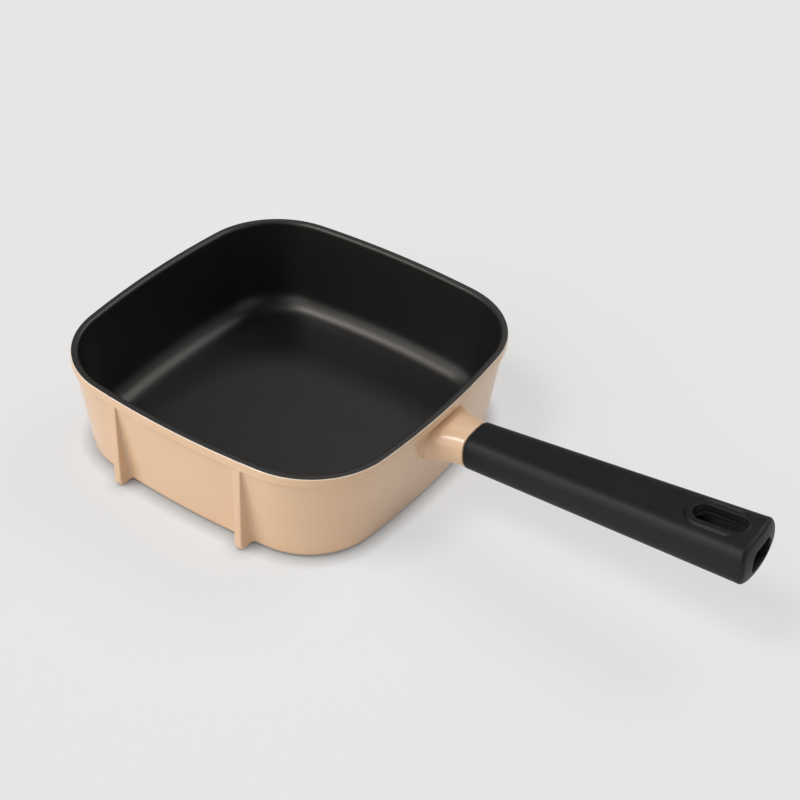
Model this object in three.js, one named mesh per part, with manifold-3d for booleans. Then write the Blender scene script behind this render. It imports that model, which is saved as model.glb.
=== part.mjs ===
// A square frying pan. A cast aluminium body with a neck and two standing fins carries a dark non-stick
// lining, a perforated steel plate in its base and a moulded handle, which one long bolt draws onto the neck.
// Millimetres, +Z up. The base rests on z = 0, centred on the origin, and the handle points along +X.

import * as THREE from 'three';
import { mergeVertices } from 'three/addons/utils/BufferGeometryUtils.js';
import Module from 'manifold-3d';

// Pan outline, seen from above
const RIM_SIDE = 200; // across the middles of two opposite sides
const SIDE_BOW_RADIUS = 500; // the sides bow outwards a little
const CORNER_RADIUS = 50;

// Pan section
const PAN_HEIGHT = 60;
const LIP_HEIGHT = 5.5;
const LIP_OVERHANG = 1.7;
const WALL_TAPER = 6.6; // how far the outside leans in between the lip and the base
const BASE_EDGE_RADIUS = 5;
const RIM_WIDTH = 4.2;
const RIM_EDGE_RADIUS = 1;
const RIM_CHAMFER = 0.25; // on the casting's outer top edge
const WALL_THICKNESS = 3; // at the foot of the wall
const FLOOR_THICKNESS = 4.4;
const FLOOR_FILLET_RADIUS = 14;

// Non-stick lining over the inside and the rim
const LINING_THICKNESS = 0.4;
const LINING_CLEARANCE = 0.05;
const LINING_EDGE_INSET = 0.25;

// Two fins on the -Y wall, on which the pan can stand on its side
const FIN_SPACING = 81;
const FIN_THICKNESS = 4.5; // at the outer edge
const FIN_ROOT_THICKNESS = 6.5;
const FIN_EDGE_ROUND = 0.8;
const FIN_FOOT_HEIGHT = 0.2;
const FIN_FOOT_ROUND = 3;
const FIN_EMBED = 1; // how far the fin's root reaches into the wall

// Plate pressed into the underside
const PLATE_THICKNESS = 0.8;
const PLATE_MARGIN = 11; // from the edge of the flat base to the plate
const PLATE_CLEARANCE = 0.1;
const PLATE_HOLE_DIAMETER = 4;
const PLATE_RING_PITCH = 16;
const PLATE_HOLES_PER_RING = 6; // in the first ring, and as many more in each further ring

// Neck, cast with the body, and the tenon that enters the handle
const NECK_REACH = 17.3; // from the rim's outer face to the handle
const NECK_DROP = 16.2; // from the rim's top to the handle's axis at its pan end
const NECK_ROOT_WIDTH = 39;
const NECK_ROOT_HEIGHT = 21;
const NECK_FLARE_POWER = 2;
const NECK_STEP = 0.4; // how much smaller the neck's end is than the handle all round
const NECK_END_ROUND = 0.8;
const NECK_GAP = 0.3;
const TENON_WIDTH = 15;
const TENON_HEIGHT = 11;
const TENON_LENGTH = 22;
const TENON_CHAMFER = 1;
const TENON_CLEARANCE = 0.3;
const SQUARED_EXPONENT = 4; // of the superellipse that rounds the tenon's section

// Handle, in its own frame: X along the axis from the pan end, Z up
const HANDLE_TILT = 5.3; // degrees, rising away from the pan
const HANDLE_LENGTH = 157.1;
const HANDLE_START_WIDTH = 26.1;
const HANDLE_START_HEIGHT = 20.7;
const HANDLE_START_EXPONENT = 2.8;
const HANDLE_END_WIDTH = 36.1;
const HANDLE_END_HEIGHT = 23.2;
const HANDLE_END_EXPONENT = 3.75;
const HANDLE_START_ROUND = 1.2;
const HANDLE_END_ROUND = 1.9;
const HANDLE_END_BULGE = 2; // from the middle of the end back to the middle of each of its edges

// Hang slot and the hollow at the handle's far end
const SLOT_LENGTH = 27;
const SLOT_WIDTH = 12;
const SLOT_FROM_END = 22.8; // from the slot's centre to the end of the handle
const HOLLOW_WIDTH = 19.1;
const HOLLOW_HEIGHT = 11.9;
const HOLLOW_DROP = 1; // of its middle below the handle's axis
const HOLLOW_CORNER_RADIUS = 4.5;
const BOLT_HEAD_ROOM = 11; // from the hollow's inner end to the slot

// Bolt and washers
const BOLT_DIAMETER = 5;
const BOLT_THREAD_LENGTH = 20; // how far the bolt goes into the tenon and neck
const BOLT_TIP_CHAMFER = 1;
const BOLT_HEAD_DIAMETER = 8.5;
const BOLT_HEAD_HEIGHT = 4.2;
const BOLT_HEAD_ROUND = 1;
const BOLT_SOCKET_ACROSS = 4; // across the flats of the hexagon socket
const BOLT_SOCKET_DEPTH = 2.5;
const THREAD_CLEARANCE = 0.1;
const THREAD_HOLE_EXTRA = 3; // hole left beyond the bolt's tip
const BORE_CLEARANCE = 0.5;
const FLAT_WASHER_DIAMETER = 9.2;
const FLAT_WASHER_THICKNESS = 1;
const SPRING_WASHER_DIAMETER = 8.8;
const SPRING_WASHER_THICKNESS = 1.3;
const SPRING_WASHER_SPLIT = 1.2;
const WASHER_CLEARANCE = 0.25;
const SEAT_GAP = 0.1;

// How finely the round stretches are divided
const SIDE_STEPS = 6;
const CORNER_STEPS = 8;
const FILLET_STEPS = 4;
const EDGE_STEPS = 3;
const SECTION_STEPS = 32;
const NECK_STEPS = 6;
const ROUND_STEPS = 24;
const PLATE_STEPS = 64;
const ARC_STEPS = 6;

const QUARTER_TURN = Math.PI / 2;
const CUT_MARGIN = 5; // how far a cutting body runs past what it cuts
const MERGE_TOLERANCE = 1e-5;

const wasm = await Module();
wasm.setup();

function steps(count, from, to) {
  return Array.from({ length: count + 1 }, (_, i) => from + ((to - from) * i) / count);
}

// A closed body through rings of equal point counts, with a fan over the first and the last ring
function loft(rings) {
  const count = rings[0].length;
  const points = rings.flat();
  const middleOf = (ring) => ring.reduce((sum, p) => sum.add(p), new THREE.Vector3()).divideScalar(count);
  points.push(middleOf(rings[0]), middleOf(rings.at(-1)));
  const firstMiddle = points.length - 2;
  const lastMiddle = points.length - 1;
  const lastRing = (rings.length - 1) * count;
  const index = [];
  for (let i = 0; i < count; i += 1) {
    const next = (i + 1) % count;
    index.push(firstMiddle, next, i);
    index.push(lastMiddle, lastRing + i, lastRing + next);
    for (let start = 0; start < lastRing; start += count) {
      index.push(start + i, start + next, start + count + next);
      index.push(start + i, start + count + next, start + count + i);
    }
  }
  const geometry = new THREE.BufferGeometry().setFromPoints(points);
  geometry.setIndex(index);
  return geometry;
}

// A solid for cutting and joining, from a closed geometry whose rings may run either way round
function solid(geometry) {
  const bare = geometry.clone();
  bare.deleteAttribute('normal');
  bare.deleteAttribute('uv');
  const merged = mergeVertices(bare, MERGE_TOLERANCE);
  const triVerts = new Uint32Array(merged.index.array);
  const corners = [0, 1, 2].map(() => new THREE.Vector3());
  let volume = 0;
  for (let t = 0; t < triVerts.length; t += 3) {
    corners.forEach((corner, i) => corner.fromBufferAttribute(merged.attributes.position, triVerts[t + i]));
    volume += corners[0].dot(corners[1].clone().cross(corners[2]));
  }
  if (volume < 0) {
    triVerts.reverse();
  }
  const vertProperties = new Float32Array(merged.attributes.position.array);
  return new wasm.Manifold(new wasm.Mesh({ numProp: 3, vertProperties, triVerts }));
}

function meshOf(name, body, material) {
  const { vertProperties, triVerts } = body.getMesh();
  const geometry = new THREE.BufferGeometry();
  geometry.setAttribute('position', new THREE.BufferAttribute(vertProperties, 3));
  geometry.setIndex(new THREE.BufferAttribute(triVerts, 1));
  geometry.computeVertexNormals();
  const mesh = new THREE.Mesh(geometry, material);
  mesh.name = name;
  return mesh;
}

// The pan's outline: four bowed sides and four corners, as tangent arcs about these centres
const bowCentre = RIM_SIDE / 2 - SIDE_BOW_RADIUS;
const cornerSpan = 2 * (SIDE_BOW_RADIUS - CORNER_RADIUS) ** 2 - bowCentre ** 2;
const cornerCentre = (bowCentre + Math.sqrt(cornerSpan)) / 2;
const bowAngle = Math.atan2(cornerCentre, cornerCentre - bowCentre);

function outlineRing(inset, z) {
  const bow = SIDE_BOW_RADIUS - inset;
  const corner = CORNER_RADIUS - inset;
  const cornerEnd = QUARTER_TURN - bowAngle;
  const side = steps(SIDE_STEPS, -bowAngle, bowAngle).slice(0, -1);
  const bend = steps(CORNER_STEPS, bowAngle, cornerEnd).slice(0, -1);
  const quarter = [
    ...side.map((a) => new THREE.Vector3(bowCentre + bow * Math.cos(a), bow * Math.sin(a), z)),
    ...bend.map((a) => {
      const x = cornerCentre + corner * Math.cos(a);
      const y = cornerCentre + corner * Math.sin(a);
      return new THREE.Vector3(x, y, z);
    }),
  ];
  const up = new THREE.Vector3(0, 0, 1);
  const turned = (turns) => quarter.map((p) => p.clone().applyAxisAngle(up, turns * QUARTER_TURN));
  return [0, 1, 2, 3].flatMap(turned);
}

// How far from the middle the outline lies, at a distance along one side
function outlineReach(along, inset) {
  const bow = SIDE_BOW_RADIUS - inset;
  const corner = CORNER_RADIUS - inset;
  if (Math.abs(along) < bow * Math.sin(bowAngle)) {
    return bowCentre + Math.sqrt(bow ** 2 - along ** 2);
  }
  return cornerCentre + Math.sqrt(corner ** 2 - (Math.abs(along) - cornerCentre) ** 2);
}

function outlineBody(profile) {
  return solid(loft(profile.map((p) => outlineRing(p.x, p.y))));
}

// Profiles hold the inset from the rim's outline as x and the height as y
const lipFoot = PAN_HEIGHT - LIP_HEIGHT - LIP_OVERHANG;
const outsideLean = WALL_TAPER / lipFoot;
const baseInset = LIP_OVERHANG + WALL_TAPER;
const baseEdgeInset = baseInset + BASE_EDGE_RADIUS * (Math.hypot(1, outsideLean) - outsideLean);

function outsideProfile() {
  const rimTop = PAN_HEIGHT - LINING_THICKNESS - LINING_CLEARANCE;
  const edge = steps(FILLET_STEPS, 0, QUARTER_TURN - Math.atan(outsideLean)).map((a) => {
    const inset = baseEdgeInset - BASE_EDGE_RADIUS * Math.sin(a);
    return new THREE.Vector2(inset, BASE_EDGE_RADIUS * (1 - Math.cos(a)));
  });
  return [
    ...edge,
    new THREE.Vector2(LIP_OVERHANG, lipFoot),
    new THREE.Vector2(0, PAN_HEIGHT - LIP_HEIGHT),
    new THREE.Vector2(0, rimTop - RIM_CHAMFER),
    new THREE.Vector2(RIM_CHAMFER, rimTop),
  ];
}

function outsideInset(z) {
  const profile = outsideProfile();
  const above = Math.max(1, profile.findIndex((p) => p.y >= z));
  const [low, high] = [profile[above - 1], profile[above]];
  return THREE.MathUtils.mapLinear(z, low.y, high.y, low.x, high.x);
}

// The finished inside at depth 0, and the surface parallel to it that lies deeper in the metal
function insideProfile(depth) {
  const footInset = baseInset + WALL_THICKNESS;
  const lean = (footInset - RIM_WIDTH) / PAN_HEIGHT;
  const slant = Math.hypot(1, lean);
  const filletZ = FLOOR_THICKNESS + FLOOR_FILLET_RADIUS;
  const filletInset = footInset - filletZ * lean + FLOOR_FILLET_RADIUS * slant;
  const filletRadius = FLOOR_FILLET_RADIUS + depth;
  const fillet = steps(FILLET_STEPS, 0, QUARTER_TURN - Math.atan(lean)).map((a) => {
    return new THREE.Vector2(filletInset - filletRadius * Math.sin(a), filletZ - filletRadius * Math.cos(a));
  });
  const edgeZ = PAN_HEIGHT - RIM_EDGE_RADIUS;
  const edgeInset = footInset - edgeZ * lean - RIM_EDGE_RADIUS * slant;
  const edgeRadius = RIM_EDGE_RADIUS - depth;
  const edge = steps(EDGE_STEPS, Math.atan(lean), QUARTER_TURN).map((a) => {
    return new THREE.Vector2(edgeInset + edgeRadius * Math.cos(a), edgeZ + edgeRadius * Math.sin(a));
  });
  return [...fillet, ...edge];
}

// Frame of the handle, which the neck, tenon and bolt hole share
const handleStart = new THREE.Vector3(RIM_SIDE / 2 + NECK_REACH, 0, PAN_HEIGHT - NECK_DROP);
const handleTurn = -THREE.MathUtils.degToRad(HANDLE_TILT);
const handleFrame = new THREE.Matrix4().makeRotationY(handleTurn).setPosition(handleStart);

function sectionRing(x, width, height, exponent) {
  const power = 2 / exponent;
  const bulge = (value) => Math.sign(value) * Math.abs(value) ** power;
  return steps(SECTION_STEPS, 0, 4 * QUARTER_TURN).slice(0, -1).map((a) => {
    return new THREE.Vector3(x, (width / 2) * bulge(Math.cos(a)), (height / 2) * bulge(Math.sin(a)));
  });
}

// A round bar along X
function rod(from, to, diameter, sides) {
  const geometry = new THREE.CylinderGeometry(diameter / 2, diameter / 2, to - from, sides);
  return geometry.rotateZ(-QUARTER_TURN).translate((from + to) / 2, 0, 0);
}

// An outline in Y and Z, carried along X
function bar(shape, from, to) {
  const options = { depth: to - from, bevelEnabled: false, curveSegments: ARC_STEPS };
  const geometry = new THREE.ExtrudeGeometry(shape, options);
  return geometry.rotateX(QUARTER_TURN).rotateZ(QUARTER_TURN).translate(from, 0, 0);
}

function makeFin(centre) {
  const tip = FIN_THICKNESS / 2;
  const root = FIN_ROOT_THICKNESS / 2;
  const reach = outlineReach(Math.abs(centre) + tip, 0);
  const section = (z, pulledIn) => {
    const out = reach - pulledIn;
    const inner = outlineReach(Math.abs(centre) + root, outsideInset(z)) - FIN_EMBED;
    const corners = [
      [-root, inner],
      [-tip, out - FIN_EDGE_ROUND],
      [FIN_EDGE_ROUND - tip, out],
      [tip - FIN_EDGE_ROUND, out],
      [tip, out - FIN_EDGE_ROUND],
      [root, inner],
    ];
    return corners.map(([across, outward]) => new THREE.Vector3(centre + across, -outward, z));
  };
  const foot = steps(EDGE_STEPS, 0, QUARTER_TURN).map((a) => {
    const z = FIN_FOOT_HEIGHT + FIN_FOOT_ROUND * (1 - Math.cos(a));
    return section(z, FIN_FOOT_ROUND * (1 - Math.sin(a)));
  });
  const lipMiddle = PAN_HEIGHT - LIP_HEIGHT / 2;
  return solid(loft([...foot, section(BASE_EDGE_RADIUS, 0), section(lipFoot, 0), section(lipMiddle, 0)]));
}

function makeNeck() {
  const rootAt = -(NECK_REACH + LIP_OVERHANG);
  const endWidth = HANDLE_START_WIDTH - 2 * NECK_STEP;
  const endHeight = HANDLE_START_HEIGHT - 2 * NECK_STEP;
  const section = (x, pulledIn) => {
    const flare = Math.min(1, x / rootAt) ** NECK_FLARE_POWER;
    const width = THREE.MathUtils.lerp(endWidth, NECK_ROOT_WIDTH, flare) - 2 * pulledIn;
    const height = THREE.MathUtils.lerp(endHeight, NECK_ROOT_HEIGHT, flare) - 2 * pulledIn;
    return sectionRing(x, width, height, HANDLE_START_EXPONENT);
  };
  const buried = rootAt - baseInset;
  const shoulder = -NECK_GAP - NECK_END_ROUND;
  const rings = [buried, ...steps(NECK_STEPS, rootAt, shoulder)].map((x) => section(x, 0));
  return solid(loft([...rings, section(-NECK_GAP, NECK_END_ROUND)]).applyMatrix4(handleFrame));
}

function makeTenon() {
  const rings = [
    sectionRing(-NECK_REACH / 2, TENON_WIDTH, TENON_HEIGHT, SQUARED_EXPONENT),
    sectionRing(TENON_LENGTH - TENON_CHAMFER, TENON_WIDTH, TENON_HEIGHT, SQUARED_EXPONENT),
    sectionRing(
      TENON_LENGTH,
      TENON_WIDTH - 2 * TENON_CHAMFER,
      TENON_HEIGHT - 2 * TENON_CHAMFER,
      SQUARED_EXPONENT,
    ),
  ];
  return solid(loft(rings).applyMatrix4(handleFrame));
}

const boltTip = TENON_LENGTH - BOLT_THREAD_LENGTH;
const plateRadius = RIM_SIDE / 2 - baseEdgeInset - PLATE_MARGIN;

function makeCasting() {
  const depth = LINING_THICKNESS + LINING_CLEARANCE;
  const inside = insideProfile(depth);
  const open = inside.at(-1).clone().setY(PAN_HEIGHT + CUT_MARGIN);
  const boltHole = rod(
    boltTip - THREAD_HOLE_EXTRA,
    TENON_LENGTH + CUT_MARGIN,
    BOLT_DIAMETER + 2 * THREAD_CLEARANCE,
    ROUND_STEPS,
  );
  const pocketDepth = PLATE_THICKNESS + PLATE_CLEARANCE;
  const pocketRadius = plateRadius + PLATE_CLEARANCE;
  const pocket = new THREE.CylinderGeometry(
    pocketRadius,
    pocketRadius,
    pocketDepth + CUT_MARGIN,
    PLATE_STEPS,
  );
  pocket.rotateX(QUARTER_TURN).translate(0, 0, (pocketDepth - CUT_MARGIN) / 2);
  return outlineBody(outsideProfile())
    .add(makeFin(-FIN_SPACING / 2))
    .add(makeFin(FIN_SPACING / 2))
    .add(makeNeck())
    .subtract(outlineBody([...inside, open]))
    .add(makeTenon())
    .subtract(solid(boltHole.applyMatrix4(handleFrame)))
    .subtract(solid(pocket));
}

function makeLining() {
  const back = insideProfile(LINING_THICKNESS);
  const edge = [
    new THREE.Vector2(LINING_EDGE_INSET, PAN_HEIGHT - LINING_THICKNESS),
    new THREE.Vector2(LINING_EDGE_INSET, PAN_HEIGHT),
  ];
  return outlineBody([...back, ...edge, ...insideProfile(0).reverse()]);
}

function circlePoints(x, y, radius, count) {
  return steps(count, 0, 4 * QUARTER_TURN).slice(0, -1).map((a) => {
    return new THREE.Vector2(x + radius * Math.cos(a), y + radius * Math.sin(a));
  });
}

function makePlate() {
  const disc = new THREE.Shape(circlePoints(0, 0, plateRadius, PLATE_STEPS));
  const holeRadius = PLATE_HOLE_DIAMETER / 2;
  for (let ring = 1; ring * PLATE_RING_PITCH + PLATE_HOLE_DIAMETER < plateRadius; ring += 1) {
    const count = ring * PLATE_HOLES_PER_RING;
    circlePoints(0, 0, ring * PLATE_RING_PITCH, count).forEach((p) => {
      disc.holes.push(new THREE.Path(circlePoints(p.x, p.y, holeRadius, ARC_STEPS)));
    });
  }
  return solid(new THREE.ExtrudeGeometry(disc, { depth: PLATE_THICKNESS, bevelEnabled: false }));
}

const hollowStart = HANDLE_LENGTH - SLOT_FROM_END - SLOT_LENGTH / 2 - BOLT_HEAD_ROOM;

function gripBody() {
  const section = (x, pulledIn) => {
    const along = x / HANDLE_LENGTH;
    const width = THREE.MathUtils.lerp(HANDLE_START_WIDTH, HANDLE_END_WIDTH, along) - 2 * pulledIn;
    const height = THREE.MathUtils.lerp(HANDLE_START_HEIGHT, HANDLE_END_HEIGHT, along) - 2 * pulledIn;
    const exponent = THREE.MathUtils.lerp(HANDLE_START_EXPONENT, HANDLE_END_EXPONENT, along);
    return sectionRing(x, width, height, exponent);
  };
  const start = steps(EDGE_STEPS, 0, QUARTER_TURN).map((a) => {
    return section(HANDLE_START_ROUND * (1 - Math.cos(a)), HANDLE_START_ROUND * (1 - Math.sin(a)));
  });
  const end = steps(FILLET_STEPS, QUARTER_TURN, 0).map((a) => {
    const x = HANDLE_LENGTH - HANDLE_END_ROUND * (1 - Math.cos(a));
    return section(x, HANDLE_END_ROUND * (1 - Math.sin(a)));
  });
  const face = [2 / 3, 1 / 3].map((share) => {
    return end.at(-1).map((p) => new THREE.Vector3(p.x, p.y * share, p.z * share));
  });
  const bulged = [...end, ...face].map((ring) => ring.map((p) => {
    const fall = (2 * p.y / HANDLE_END_WIDTH) ** 2 + (2 * p.z / HANDLE_END_HEIGHT) ** 2;
    return p.clone().setX(p.x - HANDLE_END_BULGE * fall);
  }));
  return solid(loft([...start, ...bulged]));
}

function roundedRectangle(width, height, radius) {
  const shape = new THREE.Shape();
  const [x, y] = [width / 2 - radius, height / 2 - radius];
  shape.absarc(x, y, radius, 0, QUARTER_TURN);
  shape.absarc(-x, y, radius, QUARTER_TURN, 2 * QUARTER_TURN);
  shape.absarc(-x, -y, radius, 2 * QUARTER_TURN, 3 * QUARTER_TURN);
  shape.absarc(x, -y, radius, 3 * QUARTER_TURN, 4 * QUARTER_TURN);
  return shape;
}

function makeGrip() {
  const socketEnd = TENON_LENGTH + TENON_CLEARANCE;
  const socketWidth = TENON_WIDTH + 2 * TENON_CLEARANCE;
  const socketHeight = TENON_HEIGHT + 2 * TENON_CLEARANCE;
  const socket = loft([
    sectionRing(-CUT_MARGIN, socketWidth, socketHeight, SQUARED_EXPONENT),
    sectionRing(socketEnd, socketWidth, socketHeight, SQUARED_EXPONENT),
  ]);
  const boreDiameter = BOLT_DIAMETER + 2 * BORE_CLEARANCE;
  const bore = rod(socketEnd - CUT_MARGIN, hollowStart + CUT_MARGIN, boreDiameter, ROUND_STEPS);
  const mouth = roundedRectangle(HOLLOW_WIDTH, HOLLOW_HEIGHT, HOLLOW_CORNER_RADIUS);
  const hollow = bar(mouth, hollowStart, HANDLE_LENGTH + CUT_MARGIN).translate(0, 0, -HOLLOW_DROP);
  const slotShape = roundedRectangle(SLOT_LENGTH, SLOT_WIDTH, SLOT_WIDTH / 2 - MERGE_TOLERANCE);
  const slotDepth = HANDLE_END_HEIGHT + 2 * CUT_MARGIN;
  const slotOptions = { depth: slotDepth, bevelEnabled: false, curveSegments: ARC_STEPS };
  const slot = new THREE.ExtrudeGeometry(slotShape, slotOptions);
  slot.translate(HANDLE_LENGTH - SLOT_FROM_END, 0, -slotDepth / 2);
  return gripBody()
    .subtract(solid(socket))
    .subtract(solid(bore))
    .subtract(solid(hollow))
    .subtract(solid(slot));
}

// Washers and the bolt's head stack up against the hollow's inner end
const flatWasherAt = hollowStart + SEAT_GAP;
const springWasherAt = flatWasherAt + FLAT_WASHER_THICKNESS + SEAT_GAP;
const boltHeadAt = springWasherAt + SPRING_WASHER_THICKNESS + SEAT_GAP;
const washerBore = BOLT_DIAMETER / 2 + WASHER_CLEARANCE;

function makeBolt() {
  const shank = BOLT_DIAMETER / 2;
  const head = BOLT_HEAD_DIAMETER / 2;
  const top = boltHeadAt + BOLT_HEAD_HEIGHT;
  const round = steps(EDGE_STEPS, 0, QUARTER_TURN).map((a) => {
    const across = head - BOLT_HEAD_ROUND * (1 - Math.cos(a));
    return new THREE.Vector2(across, top - BOLT_HEAD_ROUND * (1 - Math.sin(a)));
  });
  const profile = [
    new THREE.Vector2(0, boltTip),
    new THREE.Vector2(shank - BOLT_TIP_CHAMFER, boltTip),
    new THREE.Vector2(shank, boltTip + BOLT_TIP_CHAMFER),
    new THREE.Vector2(shank, boltHeadAt),
    new THREE.Vector2(head, boltHeadAt),
    ...round,
    new THREE.Vector2(0, top),
  ];
  const turned = new THREE.LatheGeometry(profile, ROUND_STEPS).rotateZ(-QUARTER_TURN);
  const acrossCorners = BOLT_SOCKET_ACROSS / Math.cos(Math.PI / 6);
  const socket = rod(top - BOLT_SOCKET_DEPTH, top + CUT_MARGIN, acrossCorners, 6);
  return solid(turned).subtract(solid(socket));
}

function makeFlatWasher() {
  const shape = new THREE.Shape(circlePoints(0, 0, FLAT_WASHER_DIAMETER / 2, ROUND_STEPS));
  shape.holes.push(new THREE.Path(circlePoints(0, 0, washerBore, ROUND_STEPS)));
  return solid(bar(shape, flatWasherAt, flatWasherAt + FLAT_WASHER_THICKNESS));
}

function makeSpringWasher() {
  const outer = SPRING_WASHER_DIAMETER / 2;
  const arc = (radius) => {
    const half = SPRING_WASHER_SPLIT / 2 / radius;
    return steps(ROUND_STEPS, half, 4 * QUARTER_TURN - half).map((a) => {
      return new THREE.Vector2(radius * Math.cos(a), radius * Math.sin(a));
    });
  };
  const shape = new THREE.Shape([...arc(outer), ...arc(washerBore).reverse()]);
  return solid(bar(shape, springWasherAt, springWasherAt + SPRING_WASHER_THICKNESS));
}

const beigeEnamel = new THREE.MeshStandardMaterial({ color: 0xe2c0a3, roughness: 0.35, metalness: 0 });
const nonstickCoat = new THREE.MeshStandardMaterial({ color: 0x2b2927, roughness: 0.45, metalness: 0 });
const plateSteel = new THREE.MeshStandardMaterial({ color: 0xb4b6b8, roughness: 0.4, metalness: 1 });
const blackPhenolic = new THREE.MeshStandardMaterial({ color: 0x28282a, roughness: 0.5, metalness: 0 });
const zincSteel = new THREE.MeshStandardMaterial({ color: 0xa8abae, roughness: 0.35, metalness: 1 });

const pan = new THREE.Group();
pan.add(
  meshOf('pan_casting', makeCasting(), beigeEnamel),
  meshOf('nonstick_lining', makeLining(), nonstickCoat),
  meshOf('induction_plate', makePlate(), plateSteel),
);

const handle = new THREE.Group();
handle.position.copy(handleStart);
handle.rotation.y = handleTurn;
handle.add(
  meshOf('handle_grip', makeGrip(), blackPhenolic),
  meshOf('handle_bolt', makeBolt(), zincSteel),
  meshOf('flat_washer', makeFlatWasher(), zincSteel),
  meshOf('spring_washer', makeSpringWasher(), zincSteel),
);
pan.add(handle);

export default pan;
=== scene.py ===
import math

import bmesh
import bpy
import numpy as np
from mathutils import Matrix, Vector


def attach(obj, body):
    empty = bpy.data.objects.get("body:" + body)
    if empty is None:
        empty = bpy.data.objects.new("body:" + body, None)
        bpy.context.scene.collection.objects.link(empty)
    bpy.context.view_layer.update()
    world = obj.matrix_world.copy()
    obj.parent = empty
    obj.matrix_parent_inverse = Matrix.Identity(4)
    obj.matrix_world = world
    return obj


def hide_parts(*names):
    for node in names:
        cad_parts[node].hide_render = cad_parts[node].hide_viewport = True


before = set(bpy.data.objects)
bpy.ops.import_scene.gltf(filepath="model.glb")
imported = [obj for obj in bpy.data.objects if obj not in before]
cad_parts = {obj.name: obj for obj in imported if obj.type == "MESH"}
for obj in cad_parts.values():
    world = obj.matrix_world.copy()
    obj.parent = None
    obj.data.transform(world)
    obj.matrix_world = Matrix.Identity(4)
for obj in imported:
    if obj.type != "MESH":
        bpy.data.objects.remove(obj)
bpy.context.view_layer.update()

# Pan body. One aluminium die casting: bowed walls with a lip, two standing fins, and a neck that ends in a
# tenon for the handle. It is sprayed outside with satin beige enamel, and the base has a turned pocket.
# All lengths in this file are in millimetres, and the meshes are made in metres.

MM = 0.001
RIM_HALF = 100.0
BOW_RADIUS = 500.0
CORNER_RADIUS = 50.0
RIM_TOP = 60.0
LIP_HEIGHT = 5.5
LIP_OVERHANG = 1.7
LIP_ROUND = 0.8
LIP_HOLLOW = 0.5
LIP_EDGE_ROUND = 0.8
LIP_TOP_WIDTH = 1.6
WALL_TAPER = 6.6
BASE_EDGE_RADIUS = 5.0
COAT_DEPTH = 0.45
WALL_FOOT_INSET = 11.3
RIM_WIDTH = 4.2
RIM_EDGE_ROUND = 1.9
FLOOR_TOP = 4.4
FLOOR_FILLET = 14.0
FLOOR_FLAT_INSET = 34.0
ROW_PITCH = 1.35
THIRDS = (0.33, 0.67)
ROUNDING_SLACK = 1e-6

bow_centre = RIM_HALF - BOW_RADIUS
corner_centre = (bow_centre + math.sqrt(2 * (BOW_RADIUS - CORNER_RADIUS) ** 2 - bow_centre**2)) / 2
bow_angle = math.atan2(corner_centre, corner_centre - bow_centre)
lip_foot = RIM_TOP - LIP_HEIGHT - LIP_OVERHANG
wall_lean = WALL_TAPER / lip_foot
base_inset = LIP_OVERHANG + WALL_TAPER
inside_lean = (WALL_FOOT_INSET - RIM_WIDTH) / RIM_TOP


def ramp(value, low, high):
    """0 below low, 1 above high, and a smooth rise between them."""
    share = np.clip((np.asarray(value, float) - low) / (high - low), 0, 1)
    return share * share * (3 - 2 * share)


def rounded(corners, radii, arc_steps=6):
    """A line through 2-D corners, with an arc of the given radius at each inner one."""
    corners = [np.array(c, float) for c in corners]
    line = [corners[0]]
    for before, corner, after, radius in zip(corners, corners[1:], corners[2:], radii):
        back = (before - corner) / np.linalg.norm(before - corner)
        on = (after - corner) / np.linalg.norm(after - corner)
        half = math.acos(np.clip(back @ on, -1, 1)) / 2
        if radius == 0:
            line.append(corner)
            continue
        middle = corner + (back + on) / np.linalg.norm(back + on) * radius / math.sin(half)
        start = corner + back * radius / math.tan(half) - middle
        end = corner + on * radius / math.tan(half) - middle
        turn = math.pi - 2 * half
        for step in np.linspace(0, 1, arc_steps + 1):
            swing = math.sin((1 - step) * turn) * start + math.sin(step * turn) * end
            line.append(middle + swing / math.sin(turn))
    return np.array([*line, corners[-1]])


def quarter_round(radius, steps):
    """Steps round a quarter circle: how far each is short of its end, and how far it has turned in."""
    turns = np.linspace(0, math.pi / 2, steps + 1)
    return [(radius * (1 - math.sin(a)), radius * (1 - math.cos(a))) for a in turns]


def divided(line, pitch):
    """The same line with its long stretches cut into steps no longer than pitch."""
    points = [line[0]]
    for a, b in zip(line, line[1:]):
        count = max(1, math.ceil(np.linalg.norm(b - a) / pitch - ROUNDING_SLACK))
        points.extend(a + (b - a) * step / count for step in range(1, count + 1))
    return np.array(points)


class Skin:
    """The points and faces of one piece, gathered ring by ring."""

    def __init__(self):
        self.points = []
        self.faces = []

    def ring(self, points):
        """Adds points and gives their numbers."""
        first = len(self.points)
        self.points.extend(tuple(float(v) for v in p) for p in points)
        return list(range(first, len(self.points)))

    def band(self, ring, after, skip=()):
        """Joins two closed rings, except at the skipped columns."""
        for i in range(len(ring)):
            if i not in skip:
                k = (i + 1) % len(ring)
                self.faces.append((ring[i], ring[k], after[k], after[i]))

    def bands(self, lines):
        """Joins rings one after another. Lines that are still points become rings first."""
        rings = [self.ring(line) if isinstance(line, np.ndarray) else line for line in lines]
        for ring, after in zip(rings, rings[1:]):
            self.band(ring, after)
        return rings

    def cap(self, ring, middle):
        """Closes a ring with a fan round a middle point."""
        tip = self.ring([middle])[0]
        for i in range(len(ring)):
            self.faces.append((ring[i], ring[(i + 1) % len(ring)], tip))


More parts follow.
